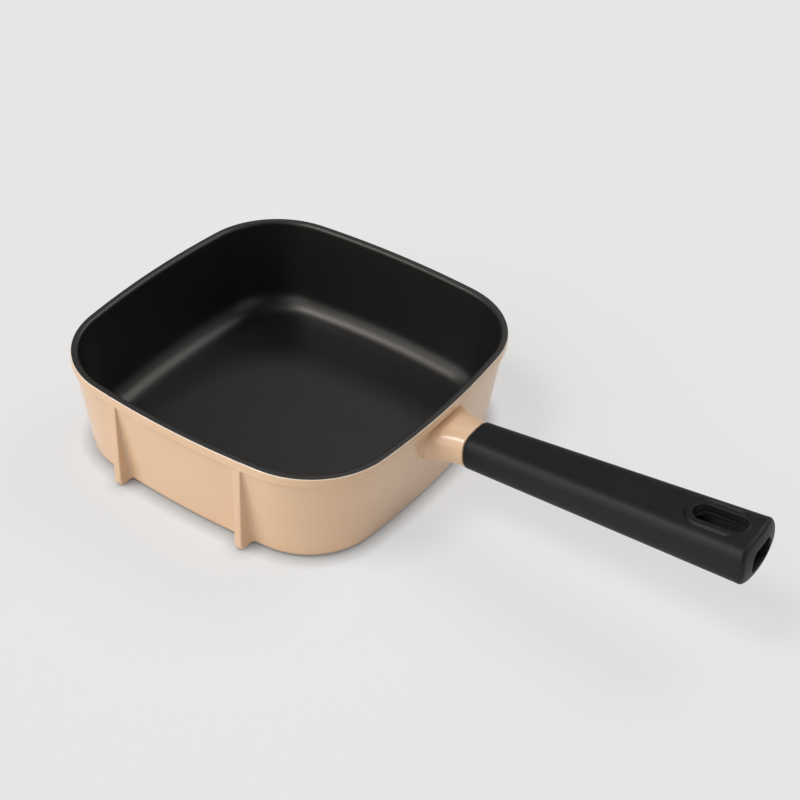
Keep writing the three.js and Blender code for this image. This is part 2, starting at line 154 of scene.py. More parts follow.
def fitted(name, skin, node, material, place=Matrix.Identity(4), crease=38.0):
    """Turns a skin into a mesh in metres that stands for a node of the frame."""
    mesh = bpy.data.meshes.new(name)
    mesh.from_pydata([place @ Vector(p) * MM for p in skin.points], [], skin.faces)
    work = bmesh.new()
    work.from_mesh(mesh)
    bmesh.ops.recalc_face_normals(work, faces=work.faces)
    work.to_mesh(mesh)
    work.free()
    mesh.validate()
    mesh.shade_smooth()
    mesh.set_sharp_from_angle(angle=math.radians(crease))
    mesh.materials.append(material)
    piece = bpy.data.objects.new(name, mesh)
    bpy.context.scene.collection.objects.link(piece)
    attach(piece, "root")
    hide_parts(node)


# Columns of the body's surface: places along each bowed side, then angles round the corner after it
FIN_CENTRE = 40.5
FIN_HALF_TIP = 2.25
FIN_HALF_ROOT = 2.4
FIN_ROOT_FILLET = 2.6
FIN_FILLET_SHARE = 0.5
FIN_EDGE_ROUND = 0.8
FIN_EDGE_SHARE = 0.12
FIN_FLAT_HALF = 0.75
FIN_ROUND_STEPS = 5
FIN_FOOT = 0.25
FIN_FOOT_ROUND = 3.0
NECK_BLOCK_HALF = 26.0
SIDE_END = BOW_RADIUS * math.sin(bow_angle)
SIDE_FIXED = 46.6
SIDE_STEPS = 60
NECK_SIDE_STEPS = 16
NECK_BLOCK_STEPS = 44
FIN_SIDE_STEPS = 5
FIN_GAP_STEPS = 40
CORNER_STEPS = 30

fin_round = quarter_round(1.0, FIN_ROUND_STEPS)
fin_half_section = [
    *[(FIN_HALF_ROOT + FIN_ROOT_FILLET * short, FIN_FILLET_SHARE * inward) for short, inward in fin_round],
    *[
        (
            FIN_HALF_ROOT + (FIN_HALF_TIP - FIN_HALF_ROOT) * t,
            FIN_FILLET_SHARE + (1 - FIN_EDGE_SHARE - FIN_FILLET_SHARE) * t,
        )
        for t in THIRDS
    ],
    *[(FIN_HALF_TIP - FIN_EDGE_ROUND * inward, 1 - FIN_EDGE_SHARE * short) for short, inward in fin_round],
    (FIN_FLAT_HALF, 1.0),
]
fin_section = (
    [(-across, share) for across, share in fin_half_section]
    + [(0.0, 1.0)]
    + [(across, share) for across, share in reversed(fin_half_section)]
)
fin_reach_along = FIN_CENTRE + FIN_HALF_ROOT + FIN_ROOT_FILLET


def bare_columns(start, end, steps):
    """Places along a side that carry no fin."""
    return [(a, 0.0) for a in np.linspace(start, end, steps + 1)]


plain_side = bare_columns(-SIDE_END, SIDE_END, SIDE_STEPS)[:-1]
neck_side = [
    *bare_columns(-SIDE_END, -NECK_BLOCK_HALF, NECK_SIDE_STEPS)[:-1],
    *bare_columns(-NECK_BLOCK_HALF, NECK_BLOCK_HALF, NECK_BLOCK_STEPS),
    *bare_columns(NECK_BLOCK_HALF, SIDE_END, NECK_SIDE_STEPS)[1:-1],
]
fin_gap = FIN_CENTRE - FIN_HALF_ROOT - FIN_ROOT_FILLET
fin_side = [
    *bare_columns(-SIDE_END, -fin_reach_along, FIN_SIDE_STEPS)[:-1],
    *[(across - FIN_CENTRE, share) for across, share in fin_section],
    *bare_columns(-fin_gap, fin_gap, FIN_GAP_STEPS)[1:-1],
    *[(across + FIN_CENTRE, share) for across, share in fin_section],
    *bare_columns(fin_reach_along, SIDE_END, FIN_SIDE_STEPS)[1:-1],
]
corner_turns = np.linspace(bow_angle, math.pi / 2 - bow_angle, CORNER_STEPS + 1)[:-1]

# Each column: its side, its place along the side or its angle round the corner, and its share of a fin
columns = []
for side, places in enumerate([neck_side, plain_side, plain_side, fin_side]):
    columns += [(side, along, np.nan, share) for along, share in places]
    columns += [(side, np.nan, turn, 0.0) for turn in corner_turns]
column_side, column_along, column_turn, column_fin = (np.array(values) for values in zip(*columns))
on_side = np.isnan(column_turn)
side_slide = ramp(np.abs(np.where(on_side, column_along, 0)), SIDE_FIXED, SIDE_END)
side_cos = np.array([1, 0, -1, 0])[column_side]
side_sin = np.array([0, 1, 0, -1])[column_side]


def outline(inset):
    """How far out and how far along its side each column lies, on the outline inset all round."""
    bow = BOW_RADIUS - inset
    corner = CORNER_RADIUS - inset
    along = np.where(on_side, column_along * (1 - side_slide * inset / BOW_RADIUS), 0)
    out = bow_centre + np.sqrt(bow**2 - along**2)
    turn = np.where(on_side, 0, column_turn)
    out = np.where(on_side, out, corner_centre + corner * np.cos(turn))
    along = np.where(on_side, along, corner_centre + corner * np.sin(turn))
    return out, along


def turned(out, along):
    """Outward and along distances of each column's side, as x and y."""
    return out * side_cos - along * side_sin, out * side_sin + along * side_cos


def flat_ring(x, y, z):
    """Points at one height."""
    return np.column_stack([x, y, z + 0 * x])


def outline_ring(inset, z):
    """The inset outline as points at one height."""
    x, y = turned(*outline(inset))
    return flat_ring(x, y, z)


# Rows of the outside, from the flat base up over the lip
EDGE_LOW_STEPS = 8
EDGE_HIGH_STEPS = 14
NECK_BLOCK_LOW = 25.4
NECK_BLOCK_HIGH = 52.5

edge_inset = base_inset + BASE_EDGE_RADIUS * (math.hypot(1, wall_lean) - wall_lean)
edge_end = math.pi / 2 - math.atan(wall_lean)
foot_turn = math.acos(1 - FIN_FOOT / BASE_EDGE_RADIUS)
edge_low = np.linspace(0, foot_turn, EDGE_LOW_STEPS + 1)
edge_high = np.linspace(foot_turn, edge_end, EDGE_HIGH_STEPS + 1)[1:]
base_edge_rows = [
    (edge_inset - BASE_EDGE_RADIUS * math.sin(a), BASE_EDGE_RADIUS * (1 - math.cos(a)))
    for a in [*edge_low, *edge_high]
]
lip_top = RIM_TOP - COAT_DEPTH


def wall_inset(z):
    """The outer wall's inset at a height."""
    return base_inset - wall_lean * z


wall_stops = [base_edge_rows[-1][1], NECK_BLOCK_LOW, NECK_BLOCK_HIGH]
wall_rows = []
for low, high in zip(wall_stops, wall_stops[1:]):
    count = math.ceil((high - low) / ROW_PITCH)
    wall_rows += [(wall_inset(z), z) for z in np.linspace(low, high, count + 1)[1:]]
lip_line = rounded(
    [
        wall_rows[-1],
        (LIP_OVERHANG, lip_foot),
        (0, RIM_TOP - LIP_HEIGHT),
        (0, lip_top),
        (LIP_TOP_WIDTH, lip_top),
    ],
    [LIP_HOLLOW, LIP_ROUND, LIP_EDGE_ROUND],
)
lip_rows = [tuple(p) for p in divided(lip_line, ROW_PITCH)[1:]]
outside_rows = base_edge_rows + wall_rows + lip_rows


def border_of(rows, columns):
    """The points round a block of a grid, one turn."""
    return (
        [rows[0][c] for c in columns]
        + [row[columns[-1]] for row in rows[1:-1]]
        + [rows[-1][c] for c in reversed(columns)]
        + [row[columns[0]] for row in reversed(rows[1:-1])]
    )


def wall_reach(along, inset):
    """How far out a bowed side lies, at places along it."""
    return bow_centre + np.sqrt((BOW_RADIUS - inset) ** 2 - along**2)


# Each fin is drawn out of its columns: its foot and outer face stand off from the wall's own rows
fin_out = float(wall_reach(FIN_CENTRE + FIN_HALF_TIP, 0))
foot_row = len(edge_low) - 1
edge_row = len(base_edge_rows) - 1
foot_start = float(wall_reach(FIN_CENTRE, base_edge_rows[foot_row][0]))
foot_flat = fin_out - FIN_FOOT_ROUND - foot_start
foot_length = foot_flat + FIN_FOOT_ROUND * math.pi / 2


def fin_edge(row):
    """Outward distance and height of a fin's outer edge, for one row of the outside."""
    if row > edge_row:
        return fin_out, outside_rows[row][1]
    travelled = foot_length * (row - foot_row) / (edge_row - foot_row)
    if travelled < foot_flat:
        return foot_start + travelled, FIN_FOOT
    turn = (travelled - foot_flat) / FIN_FOOT_ROUND
    out = fin_out - FIN_FOOT_ROUND * (1 - math.sin(turn))
    return out, FIN_FOOT + FIN_FOOT_ROUND * (1 - math.cos(turn))


def outside_ring(row):
    """One row of the outside, with both fins drawn out of it."""
    inset, z = outside_rows[row]
    out, along = outline(inset)
    height = np.full(len(out), z)
    if row > foot_row:
        edge_out, edge_z = fin_edge(row)
        stand_off = np.maximum(edge_out - out, 0) * column_fin
        height = height + (edge_z - z) * column_fin * (stand_off > 0)
        out = out + stand_off
    x, y = turned(out, along)
    return np.column_stack([x, y, height])


# Neck: sections in the handle's own tilted frame, drawn from the wall to the handle
HANDLE_TILT = math.radians(5.3)
HANDLE_START = (117.3, 0.0, 43.8)
NECK_END_WIDTH = 25.3
NECK_END_HEIGHT = 19.9
NECK_ROOT_WIDTH = 39.0
NECK_ROOT_HEIGHT = 20.2
NECK_ROOT_AT = -19.0
NECK_EXPONENT = 2.8
NECK_GAP = 0.3
NECK_END_ROUND = 0.8
NECK_FILLET = 1.2
NECK_TOP_FILLET = 0.2
NECK_FILLET_FADE = (-0.8, -0.05)
NECK_ROOT_SEARCH = (-32.0, -8.0)
NECK_ROOT_HALVINGS = 40
NECK_MIDDLE_Z = 41.6
NECK_SKIRT_STEPS = 6
NECK_FILLET_STEPS = 8
NECK_LENGTH_STEPS = 14
NECK_ROUND_STEPS = 5
TENON_WIDTH = 15.0
TENON_HEIGHT = 11.0
TENON_LENGTH = 22.0
TENON_CHAMFER = 1.0
TENON_EXPONENT = 4.0
ROUND_EXPONENT = 2.0
BOLT_HOLE_RADIUS = 2.6
BOLT_HOLE_END = -1.0

handle_place = Matrix.Translation(HANDLE_START) @ Matrix.Rotation(-HANDLE_TILT, 4, "Y")
handle_turn = np.array(handle_place)[:3, :3]
handle_origin = np.array(handle_place)[:3, 3]


def squared(turn, width, height, exponent):
    """Points at polar angles on a squared ellipse."""
    c, d = np.cos(turn), np.sin(turn)
    reach = (np.abs(2 * c / width) ** exponent + np.abs(2 * d / height) ** exponent) ** (-1 / exponent)
    return reach * c, reach * d


def section_point(turn, s, width, height, exponent):
    """Points on a squared ellipse across the handle's axis, in the pan's frame."""
    local = np.column_stack([s + 0 * turn, *squared(turn, width, height, exponent)])
    return local @ handle_turn.T + handle_origin


def neck_point(turn, s, pulled_in=0.0):
    """Points on the neck, which flares towards the wall."""
    flare = np.clip(s / NECK_ROOT_AT, 0, 1) ** 2
    width = NECK_END_WIDTH + (NECK_ROOT_WIDTH - NECK_END_WIDTH) * flare - 2 * pulled_in
    height = NECK_END_HEIGHT + (NECK_ROOT_HEIGHT - NECK_END_HEIGHT) * flare - 2 * pulled_in
    return section_point(turn, s, width, height, NECK_EXPONENT)


def on_wall(y, z):
    """Points on the wall that carries the neck."""
    return np.column_stack([wall_reach(y, wall_inset(z)), y, z])


body = Skin()
outside = [body.ring(outside_ring(row)) for row in range(len(outside_rows))]
row_heights = np.array([z for _, z in outside_rows])
low_row, high_row = (int(np.argmin(np.abs(row_heights - z))) for z in (NECK_BLOCK_LOW, NECK_BLOCK_HIGH))
on_block = (column_side == 0) & (np.abs(column_along) <= NECK_BLOCK_HALF)
block_columns = [int(i) for i in np.flatnonzero(on_block)]
for row in range(len(outside_rows) - 1):
    skip = set(block_columns[:-1]) if low_row <= row < high_row else ()
    body.band(outside[row], outside[row + 1], skip)

block_edge = border_of(outside[low_row : high_row + 1], block_columns)
edge_points = np.array([body.points[i] for i in block_edge])
neck_turn = np.arctan2(edge_points[:, 2] - NECK_MIDDLE_Z, edge_points[:, 1])

# Where the neck meets the wall, found by halving, and a fillet round that line
near, far = (np.full(len(neck_turn), s) for s in NECK_ROOT_SEARCH)
for _ in range(NECK_ROOT_HALVINGS):
    middle = (near + far) / 2
    reached = neck_point(neck_turn, middle)
    buried = reached[:, 0] < wall_reach(reached[:, 1], wall_inset(reached[:, 2]))
    near = np.where(buried, middle, near)
    far = np.where(buried, far, middle)
root_s = (near + far) / 2
root = neck_point(neck_turn, root_s)
root_ahead = np.roll(root, -1, 0) - np.roll(root, 1, 0)
root_out = np.column_stack([root_ahead[:, 2], -root_ahead[:, 1]])
root_out /= np.linalg.norm(root_out, axis=1)[:, None]
fillet_share = ramp(-np.sin(neck_turn), *NECK_FILLET_FADE)
fillet = NECK_TOP_FILLET + (NECK_FILLET - NECK_TOP_FILLET) * fillet_share
skirt = root[:, 1:] + root_out * fillet[:, None]
shoulder = -NECK_GAP - NECK_END_ROUND
neck = [block_edge]
for share in np.linspace(0, 1, NECK_SKIRT_STEPS + 1)[1:]:
    neck.append(on_wall(*(edge_points[:, 1:] * (1 - share) + skirt * share).T))
fillet_foot = on_wall(*skirt.T)
rise_s = root_s + fillet
rise = neck_point(neck_turn, rise_s)
for t in np.linspace(0, 1, NECK_FILLET_STEPS + 1)[1:]:
    neck.append((1 - t) ** 2 * fillet_foot + 2 * t * (1 - t) * root + t * t * rise)
for share in np.linspace(0, 1, NECK_LENGTH_STEPS + 1)[1:]:
    neck.append(neck_point(neck_turn, rise_s * (1 - share) + shoulder * share))
for short, inward in quarter_round(NECK_END_ROUND, NECK_ROUND_STEPS)[1:]:
    neck.append(neck_point(neck_turn, -NECK_GAP - short, inward))
tenon = (TENON_WIDTH, TENON_HEIGHT, TENON_EXPONENT)
tenon_tip = (TENON_WIDTH - 2 * TENON_CHAMFER, TENON_HEIGHT - 2 * TENON_CHAMFER, TENON_EXPONENT)
bolt_hole = (2 * BOLT_HOLE_RADIUS, 2 * BOLT_HOLE_RADIUS, ROUND_EXPONENT)
for s, section in (
    (-NECK_GAP, tenon),
    (TENON_LENGTH - TENON_CHAMFER, tenon),
    (TENON_LENGTH, tenon_tip),
    (TENON_LENGTH, bolt_hole),
    (BOLT_HOLE_END, bolt_hole),
):
    neck.append(section_point(neck_turn, s, *section))
neck_rings = body.bands(neck)
body.cap(neck_rings[-1], handle_turn @ np.array([BOLT_HOLE_END, 0, 0]) + handle_origin)

# Underside with the turned pocket for the base plate
POCKET_RADIUS = 76.39
POCKET_DEPTH = 0.9
POCKET_BORDER = 2.5
POCKET_EDGE = 0.3
POCKET_FOOT_ROUND = 0.15
POCKET_FOOT_WIDTH = 3.0
POCKET_ROUND_STEPS = 3
POCKET_RINGS = (45.0, 18.0, 4.0)

rim_x, rim_y = turned(*outline(edge_inset))
round_x, round_y = rim_x / np.hypot(rim_x, rim_y), rim_y / np.hypot(rim_x, rim_y)
border_radius = POCKET_RADIUS + POCKET_BORDER
pocket_line = rounded(
    [
        (border_radius, 0),
        (POCKET_RADIUS, 0),
        (POCKET_RADIUS, POCKET_DEPTH),
        (POCKET_RADIUS - POCKET_FOOT_WIDTH, POCKET_DEPTH),
    ],
    [POCKET_EDGE, POCKET_FOOT_ROUND],
    POCKET_ROUND_STEPS,
)
under = [outside[0]]
for share in THIRDS:
    border_x = rim_x + (border_radius * round_x - rim_x) * share
    border_y = rim_y + (border_radius * round_y - rim_y) * share
    under.append(flat_ring(border_x, border_y, 0))
for radius, z in [*pocket_line, *[(radius, POCKET_DEPTH) for radius in POCKET_RINGS]]:
    under.append(flat_ring(radius * round_x, radius * round_y, z))
body.cap(body.bands(under)[-1], (0, 0, POCKET_DEPTH))

# The casting's own inside, which lies just under the non-stick coat
BARE_ROUND_STEPS = 8
BARE_ROW_PITCH = 9.0
BARE_FLOOR_SHARES = (0.66, 0.33, 0.08)

bare_foot = WALL_FOOT_INSET - COAT_DEPTH * math.hypot(1, inside_lean)
bare_floor = FLOOR_TOP - COAT_DEPTH
bare_line = rounded(
    [
        outside_rows[-1],
        (bare_foot - inside_lean * lip_top, lip_top),
        (bare_foot - inside_lean * bare_floor, bare_floor),
        (FLOOR_FLAT_INSET, bare_floor),
    ],
    [RIM_EDGE_ROUND - COAT_DEPTH, FLOOR_FILLET + COAT_DEPTH],
    BARE_ROUND_STEPS,
)
inside = [outside[-1]]
for inset, z in divided(bare_line, BARE_ROW_PITCH)[1:]:
    inside.append(outline_ring(inset, z))
floor_x, floor_y = turned(*outline(FLOOR_FLAT_INSET))
for share in BARE_FLOOR_SHARES:
    inside.append(flat_ring(floor_x * share, floor_y * share, bare_floor))
body.cap(body.bands(inside)[-1], (0, 0, bare_floor))

# Effects that several of the pan's finishes share
NOISE_LOW = 0.3
NOISE_HIGH = 0.7
OUTER_EDGE = (0.53, 0.62)
INNER_CORNER = (0.49, 0.44)
EDGE_BREAKS = (0.35, 0.65)


def group_of(name, inputs, outputs):
    """An empty shader node group with float sockets, and its two end nodes."""
    group = bpy.data.node_groups.new(name, "ShaderNodeTree")
    for in_out, labels in (("INPUT", inputs), ("OUTPUT", outputs)):
        for label in labels:
            group.interface.new_socket(label, in_out=in_out, socket_type="NodeSocketFloat")
    return group, group.nodes.new("NodeGroupInput"), group.nodes.new("NodeGroupOutput")


def set_up(node, settings):
    """Gives a node its settings: properties by name, and sockets with a value or a link."""
    for label, value in settings.items():
        if label in node.bl_rna.properties:
            setattr(node, label, value)
        elif isinstance(value, bpy.types.NodeSocket):
            node.id_data.links.new(value, node.inputs[label])
        else:
            node.inputs[label].default_value = value


def node_in(tree, kind, **settings):
    """A new node with its settings."""
    node = tree.nodes.new(kind)
    set_up(node, settings)
    return node


def ranged(source, low, high, to_low, to_high):
    """A value mapped from one range to another and held inside it."""
    limits = {"From Min": low, "From Max": high, "To Min": to_low, "To Max": to_high}
    return node_in(source.id_data, "ShaderNodeMapRange", Value=source, **limits).outputs["Result"]


def placed(tree):
    """Where each point lies in its own object."""
    return tree.nodes.new("ShaderNodeTexCoord").outputs["Object"]


def noise_of(scale, detail, roughness):
    """A noise over the piece, at a scale that comes from a socket."""
    settings = {"Scale": scale, "Detail": detail, "Roughness": roughness}
    tree = scale.id_data
    return node_in(tree, "ShaderNodeTexNoise", Vector=placed(tree), **settings).outputs["Fac"]


# Fine relief of a sprayed or moulded skin: Height at the given size, and Tone, a slow drift over the piece
skin_grain, grain_in, grain_out = group_of(
    "skin_grain", ["Grain per metre", "Drift per metre"], ["Height", "Tone"]
)
fine_noise = noise_of(grain_in.outputs["Grain per metre"], detail=3.0, roughness=0.55)
slow_noise = noise_of(grain_in.outputs["Drift per metre"], detail=2.0, roughness=0.5)
set_up(grain_out, {"Height": fine_noise, "Tone": slow_noise})

# Edges that wear with use: Rubbed is 1 on sharp outer edges. The second output is 1 in inner corners, and
# is used only to lay painted shade there
edge_wear_and_shade, rub_in, wear_and_shade_out = group_of("edge_wear_and_shade", ["Breaks per metre"], ["Rubbed", "Corner shade"])
pointed = edge_wear_and_shade.nodes.new("ShaderNodeNewGeometry").outputs["Pointiness"]
rub_noise = noise_of(rub_in.outputs["Breaks per metre"], detail=4.0, roughness=0.6)
rub_product = node_in(edge_wear_and_shade, "ShaderNodeMath", operation="MULTIPLY")
edge_wear_and_shade.links.new(ranged(pointed, *OUTER_EDGE, 0.0, 1.0), rub_product.inputs[0])
edge_wear_and_shade.links.new(ranged(rub_noise, *EDGE_BREAKS, 0.3, 1.0), rub_product.inputs[1])
corner_shade_mask = ranged(pointed, *INNER_CORNER, 0.0, 1.0)
set_up(wear_and_shade_out, {"Rubbed": rub_product.outputs["Value"], "Corner shade": corner_shade_mask})


def finish_of(name):
    """A new material and its Principled shader."""
    material = bpy.data.materials.new(name)
    material.use_nodes = True
    return material, material.node_tree.nodes["Principled BSDF"]


def grained(tree, grain, drift):
    """The fine relief placed in one material, with its grain and drift per metre."""
    values = {"Grain per metre": grain, "Drift per metre": drift}
    return node_in(tree, "ShaderNodeGroup", node_tree=skin_grain, **values)


def tinted(share, colour, other):
    """A mix of two colours, or of a colour socket and a colour, by a share that varies over the piece."""
    mix = node_in(share.id_data, "ShaderNodeMix", data_type="RGBA", Factor=share)
    for socket, value in ((mix.inputs[6], colour), (mix.inputs[7], other)):
        if isinstance(value, bpy.types.NodeSocket):
            mix.id_data.links.new(value, socket)
        else:
            socket.default_value = (*value, 1.0)
    return mix.outputs[2]


def drifting(tone, colour, other, share=1.0):
    """A colour that drifts slowly towards another over the piece."""
    return tinted(ranged(tone, NOISE_LOW, NOISE_HIGH, 0.0, share), colour, other)


def overlaid(mask, colour, other, share):
    """A colour with another over it where a mask from 0 to 1 shows, at a share of full strength."""
    return tinted(ranged(mask, 0.0, 1.0, 0.0, share), colour, other)


def worn_finish(name, colours, grain, drift, breaks, rubbed, drifted=1.0, corner_shade=None):
    """A new material whose first colour drifts towards the second, with the third on rubbed edges, and, if
    given, painted shade in inner corners.
    """
    material, shader = finish_of(name)
    relief = grained(shader.id_data, grain, drift)
    wear_and_shade = node_in(shader.id_data, "ShaderNodeGroup", node_tree=edge_wear_and_shade, **{"Breaks per metre": breaks})
    colour = drifting(relief.outputs["Tone"], *colours[:2], drifted)
    colour = overlaid(wear_and_shade.outputs["Rubbed"], colour, colours[2], rubbed)
    # Painted shade: a darker colour laid into inner corners, where shade falls
    if corner_shade:
        colour = overlaid(wear_and_shade.outputs["Corner shade"], colour, *corner_shade)
    return material, shader, relief, colour


def risen(tree, low, high):
    """A mask that rises from 0 to 1 between two heights."""
    height = node_in(tree, "ShaderNodeSeparateXYZ", Vector=placed(tree))
    return ranged(height.outputs["Z"], low * MM, high * MM, 0.0, 1.0)


def surfaced(shader, colour, noise, smooth, rough):
    """Gives a shader its colour, and a roughness between two values that follows a noise."""
    gloss = ranged(noise, NOISE_LOW, NOISE_HIGH, smooth, rough)
    set_up(shader, {"Base Color": colour, "Roughness": gloss})


def embossed(shader, height, depth):
    """A height that shows in the shader's normals."""
    bump = node_in(shader.id_data, "ShaderNodeBump", Strength=1.0, Distance=depth * MM, Height=height)
    set_up(shader, {"Normal": bump.outputs["Normal"]})


ENAMEL = (0.735, 0.503, 0.322)
ENAMEL_DEEP = (0.705, 0.468, 0.288)
# Paler enamel on sharp outer edges: partly thin, worn enamel and partly a painted highlight along them
ENAMEL_THIN_AND_HIGHLIGHT = (0.86, 0.72, 0.58)
# Painted shade: a dark brown laid into the enamel's inner corners, at the fins' roots and round the neck
ENAMEL_CORNER_SHADE = (0.46, 0.25, 0.12)
# Painted highlight: a near-white line along the lip's rounded top edge, just under the coat, between the
# two heights below
LIP_HIGHLIGHT = (0.93, 0.86, 0.77)
LIP_HIGHLIGHT_FROM = 59.05
LIP_HIGHLIGHT_TO = 59.35

beige_enamel, enamel, enamel_grain, enamel_colour = worn_finish(
    "beige_enamel",
    (ENAMEL, ENAMEL_DEEP, ENAMEL_THIN_AND_HIGHLIGHT),
    grain=850.0,
    drift=22.0,
    breaks=260.0,
    rubbed=0.55,
    corner_shade=(ENAMEL_CORNER_SHADE, 0.6),
)
# Painted highlight along the lip's top edge
lip_highlight_mask = risen(enamel.id_data, LIP_HIGHLIGHT_FROM, LIP_HIGHLIGHT_TO)
enamel_colour = overlaid(lip_highlight_mask, enamel_colour, LIP_HIGHLIGHT, share=0.65)
surfaced(enamel, enamel_colour, enamel_grain.outputs["Tone"], smooth=0.22, rough=0.28)
set_up(enamel, {"Specular IOR Level": 0.4, "Coat Weight": 0.3, "Coat Roughness": 0.14})
embossed(enamel, enamel_grain.outputs["Height"], depth=0.03)

fitted("cast_body", body, "pan_casting", beige_enamel)

# Non-stick coat. A dark resin film sprayed over the whole inside and the flat of the rim, then baked on.
# Its edge stops just short of the rim's outer edge, so a thin line of enamel shows around it.

COAT_THICKNESS = 0.4
COAT_EDGE_INSET = 0.45
COAT_EDGE_ROUND = 0.16
COAT_COLUMN_PITCH = 1.4
COAT_ROW_PITCH = 2.5
COAT_ROUND_STEPS = 14
COAT_FLOOR_SHARES = (0.05, 0.2, 0.4, 0.6, 0.8)

coat_back_foot = WALL_FOOT_INSET - COAT_THICKNESS * math.hypot(1, inside_lean)
coat_back_floor = FLOOR_TOP - COAT_THICKNESS
coat_back_top = RIM_TOP - COAT_THICKNESS
coat_line = rounded(
    [
        (FLOOR_FLAT_INSET, coat_back_floor),
        (coat_back_foot - inside_lean * coat_back_floor, coat_back_floor),
        (coat_back_foot - inside_lean * coat_back_top, coat_back_top),
        (COAT_EDGE_INSET, coat_back_top),
        (COAT_EDGE_INSET, RIM_TOP),
        (RIM_WIDTH, RIM_TOP),
        (WALL_FOOT_INSET - inside_lean * FLOOR_TOP, FLOOR_TOP),
        (FLOOR_FLAT_INSET, FLOOR_TOP),
    ],
    [
        FLOOR_FILLET + COAT_THICKNESS,
        RIM_EDGE_ROUND - COAT_THICKNESS,
        0,
        COAT_EDGE_ROUND,
        RIM_EDGE_ROUND,
        FLOOR_FILLET,
    ],
    COAT_ROUND_STEPS,
)

# The coat takes fewer columns than the body, since it has no fins to follow
coat_columns = [0]
for column in range(1, len(rim_x)):
    gone = math.hypot(rim_x[column] - rim_x[coat_columns[-1]], rim_y[column] - rim_y[coat_columns[-1]])
    if gone > COAT_COLUMN_PITCH:
        coat_columns.append(column)


def coat_floor(share, z):
    """A ring on the flat of the floor, at a share of the way out to the floor's edge."""
    return flat_ring(floor_x * share, floor_y * share, z)[coat_columns]


coat_lines = [
    *[coat_floor(share, coat_back_floor) for share in COAT_FLOOR_SHARES],
    *[outline_ring(inset, z)[coat_columns] for inset, z in divided(coat_line, COAT_ROW_PITCH)],
    *[coat_floor(share, FLOOR_TOP) for share in reversed(COAT_FLOOR_SHARES)],
]
coat = Skin()
coat_rings = coat.bands(coat_lines)
coat.cap(coat_rings[0], (0, 0, coat_back_floor))
coat.cap(coat_rings[-1], (0, 0, FLOOR_TOP))

COAT_DARK = (0.0078, 0.0075, 0.007)
COAT_WARM = (0.0098, 0.0093, 0.0086)
COAT_FLECK = (0.022, 0.021, 0.02)
# The coat turns a paler grey over the top of the rim, between the two heights below
COAT_RIM_PALE = (0.03, 0.0292, 0.0284)
RIM_PALE_FROM = 59.2
RIM_PALE_TO = 59.8
COAT_SHEEN = (1.0, 0.95, 0.89)
FLECK_EDGE = 0.24
FLECK_CORE = 0.1
FLECK_SHARE = 0.3

nonstick, coat_shader = finish_of("nonstick_coat")
coat_tree = coat_shader.id_data
coat_grain = grained(coat_tree, grain=1900.0, drift=26.0)
flecks = node_in(coat_tree, "ShaderNodeTexVoronoi", Vector=placed(coat_tree), Scale=900.0)
fleck_share = ranged(flecks.outputs["Distance"], FLECK_EDGE, FLECK_CORE, 0.0, FLECK_SHARE)
coat_colour = drifting(coat_grain.outputs["Tone"], COAT_DARK, COAT_WARM)
coat_colour = tinted(fleck_share, coat_colour, COAT_FLECK)
coat_colour = overlaid(risen(coat_tree, RIM_PALE_FROM, RIM_PALE_TO), coat_colour, COAT_RIM_PALE, share=0.7)
surfaced(coat_shader, coat_colour, coat_grain.outputs["Height"], smooth=0.33, rough=0.4)
set_up(coat_shader, {"Specular IOR Level": 0.47, "Specular Tint": (*COAT_SHEEN, 1.0)})
embossed(coat_shader, coat_grain.outputs["Height"], depth=0.02)

fitted("nonstick_film", coat, "nonstick_lining", nonstick)

# Base plate. A disc of magnetic steel with rings of round holes, stamped and turned, then pressed into
# the pocket in the underside so that the pan works on an induction hob.

PLATE_RADIUS = 76.29
PLATE_THICKNESS = 0.8
PLATE_HOLE_RADIUS = 2.0
PLATE_RINGS = 4
PLATE_RING_PITCH = 16.0
PLATE_HOLES_MORE = 6
PLATE_EDGE = 0.08
PLATE_STEPS = 160
PLATE_HOLE_STEPS = 28

plate_curve = bpy.data.curves.new("plate_outline", "CURVE")
plate_curve.dimensions = "2D"
plate_curve.fill_mode = "BOTH"


def circle_in(curve, x, y, radius, count):
    """Adds a circle to a flat curve: the first is its outline, and the rest are holes."""
    spline = curve.splines.new("POLY")
    spline.points.add(count - 1)
    for point, turn in zip(spline.points, np.linspace(0, 2 * math.pi, count + 1)):
        point.co = ((x + radius * math.cos(turn)) * MM, (y + radius * math.sin(turn)) * MM, 0, 1)
    spline.use_cyclic_u = True


circle_in(plate_curve, 0, 0, PLATE_RADIUS - PLATE_EDGE, PLATE_STEPS)
for plate_ring in range(1, PLATE_RINGS + 1):
    ring_radius = plate_ring * PLATE_RING_PITCH
    hole_count = plate_ring * PLATE_HOLES_MORE
    for hole in range(hole_count):
        hole_turn = 2 * math.pi * hole / hole_count
        hole_x, hole_y = ring_radius * math.cos(hole_turn), ring_radius * math.sin(hole_turn)
        circle_in(plate_curve, hole_x, hole_y, PLATE_HOLE_RADIUS + PLATE_EDGE, PLATE_HOLE_STEPS)
plate_curve.extrude = (PLATE_THICKNESS / 2 - PLATE_EDGE) * MM
plate_curve.bevel_depth = PLATE_EDGE * MM
plate_curve.bevel_resolution = 2
plate_shape = bpy.data.objects.new("plate_outline", plate_curve)
bpy.context.scene.collection.objects.link(plate_shape)
bpy.context.view_layer.update()
plate_solid = plate_shape.evaluated_get(bpy.context.evaluated_depsgraph_get())
plate_mesh = bpy.data.meshes.new_from_object(plate_solid)
bpy.data.objects.remove(plate_shape)
plate_mesh.transform(Matrix.Translation((0, 0, PLATE_THICKNESS / 2 * MM)))
plate = Skin()
plate.points = [tuple(v.co / MM) for v in plate_mesh.vertices]
plate.faces = [tuple(f.vertices) for f in plate_mesh.polygons]
bpy.data.meshes.remove(plate_mesh)

PLATE_STEEL = (0.5, 0.5, 0.505)
PLATE_STEEL_DULL = (0.4, 0.395, 0.39)
PLATE_BRIGHT = (0.62, 0.62, 0.62)

